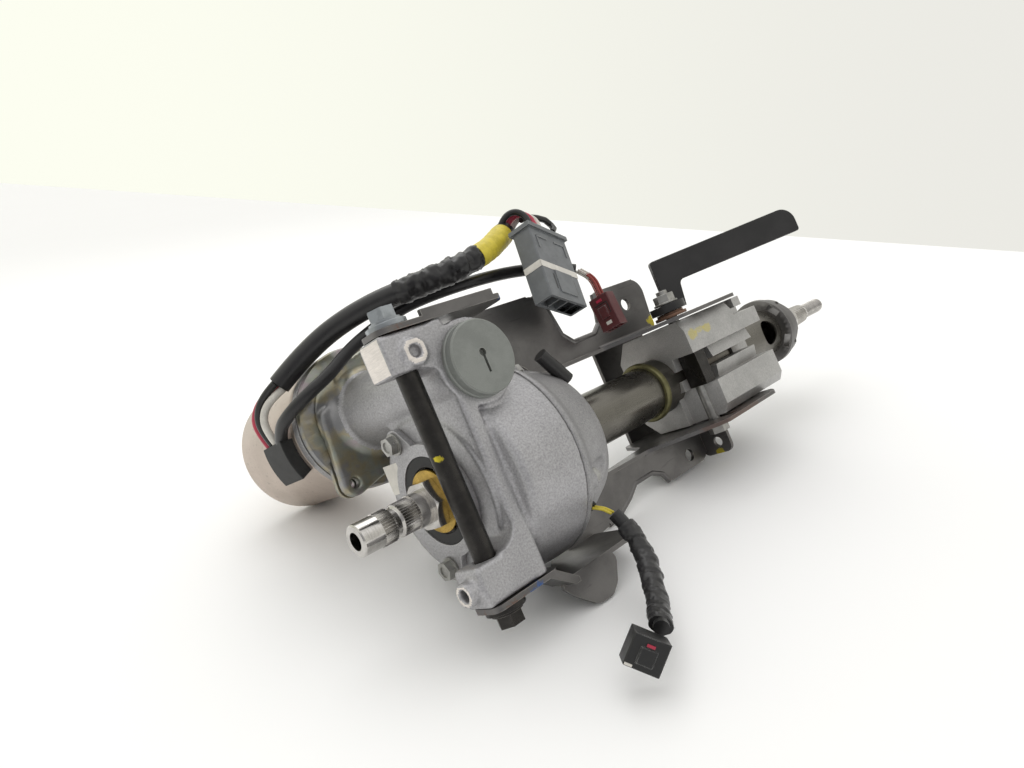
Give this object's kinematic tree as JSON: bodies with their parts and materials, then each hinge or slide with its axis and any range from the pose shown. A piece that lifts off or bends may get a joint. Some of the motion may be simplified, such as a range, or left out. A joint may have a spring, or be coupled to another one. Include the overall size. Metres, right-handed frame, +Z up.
{
  "type": "steering column with electric power steering drive",
  "caption": "Tilting steering column with a worm gearbox, side motor, clamped tilt bracket, hand lever, splined shaft and short wiring leads.",
  "frame": {"origin": "centre of the output shaft tip, on the steering axis", "axes": "+X along the steering shaft from the output spline to the wheel end, +Z up as the unit lies on a bench in the picture"},
  "size_m": [0.5218, 0.3535, 0.1993],
  "materials": {
    "bracket_steel": "satin black coating",
    "blackened_steel": "blackened",
    "zinc_steel": "zinc plated",
    "cast_aluminium": "sand-blasted casting",
    "dull_cast_iron": "dull coating",
    "bearing_steel": "ground",
    "machined_steel": "turned",
    "brass": "turned",
    "rubber": "matte",
    "wheel_plastic": "moulded nylon",
    "tube_steel": "dark satin",
    "black_plastic": "moulded",
    "copper": "enamelled",
    "satin_steel": "satin plated",
    "magnet": "ferrite",
    "core_steel": "laminated",
    "carbon": "pressed",
    "sleeve_black": "taped sleeve",
    "wire_red": "insulation",
    "wire_black": "insulation",
    "wire_white": "insulation",
    "grey_plastic": "moulded",
    "brown_plastic": "moulded"
  },
  "bodies": {
    "bracket": {"mounting_bracket": "bracket_steel", "pivot_rod": "blackened_steel", "pivot_bolts": "zinc_steel", "pivot_washers": "zinc_steel"},
    "column": {"gear_housing": "cast_aluminium", "front_cover": "cast_aluminium", "cover_bolts": "zinc_steel", "worm_end_cap": "dull_cast_iron", "rear_cover": "cast_aluminium", "rear_cover_screws": "zinc_steel", "shaft_bearing_outer": "bearing_steel", "shaft_bearing_rollers": "bearing_steel", "seal_ring": "rubber", "lower_tube": "tube_steel", "tolerance_ring": "wheel_plastic", "upper_tube": "tube_steel", "clamp_block": "cast_aluminium", "stopper_plate": "black_plastic", "clamp_bolt": "zinc_steel", "clamp_washers": "zinc_steel", "clamp_nut": "zinc_steel", "wheel_end_collar": "tube_steel", "top_bearing": "bearing_steel", "sensor_coil": "copper", "motor_adapter": "zinc_steel", "motor_ring": "satin_steel", "motor_can": "satin_steel", "magnets": "magnet", "brush_gear": "black_plastic", "brushes": "carbon", "grommets": "rubber", "power_sleeve": "sleeve_black", "red_wire": "wire_red", "black_wire": "wire_black", "white_wire": "wire_white", "red_tail": "wire_red", "black_tail": "wire_black", "white_tail": "wire_white", "grey_connector": "grey_plastic", "signal_cable": "sleeve_black", "signal_wires": "wire_red", "brown_connector": "brown_plastic", "sensor_cable": "sleeve_black", "sensor_wires": "wire_white", "black_connector": "black_plastic", "wire_clip": "black_plastic", "rotor_bearings": "bearing_steel"},
    "steering_shaft_line": {"output_shaft": "machined_steel", "lock_nut": "machined_steel", "brass_ring": "brass", "torsion_bar": "machined_steel", "steering_shaft": "machined_steel", "shaft_bearing_inner": "bearing_steel", "worm_wheel_hub": "machined_steel", "worm_wheel_ring": "wheel_plastic"},
    "motor_rotor": {"worm_shaft": "machined_steel", "rotor_shaft": "machined_steel", "rotor_core": "core_steel", "rotor_windings": "copper"},
    "lever": {"tilt_lever": "black_plastic"}
  },
  "joints": [
    {"name": "column_tilt", "type": "hinge", "parent": "bracket", "child": "column", "pos_m": [0.041, -0.03526, 0.01667], "axis": [0, 0.4274, 0.9041], "range_deg": [-3.5, 3.5]},
    {"name": "lever_turn", "type": "hinge", "parent": "column", "child": "lever", "pos_m": [0.274, -0.00432, 0.05403], "axis": [0, -0.4274, -0.9041], "range_deg": [0, 50]},
    {"name": "shaft_spin", "type": "hinge", "parent": "column", "child": "steering_shaft_line", "pos_m": [0.3, 0, 0], "axis": [1, 0, 0], "continuous": true},
    {"name": "rotor_spin", "type": "hinge", "parent": "column", "child": "motor_rotor", "pos_m": [0.077, 0.02628, 0.0556], "axis": [0, -0.9041, 0.4274], "continuous": true}
  ],
  "couplings": [
    {"joint": "rotor_spin", "follows": "shaft_spin", "ratio": -20.5}
  ]
}
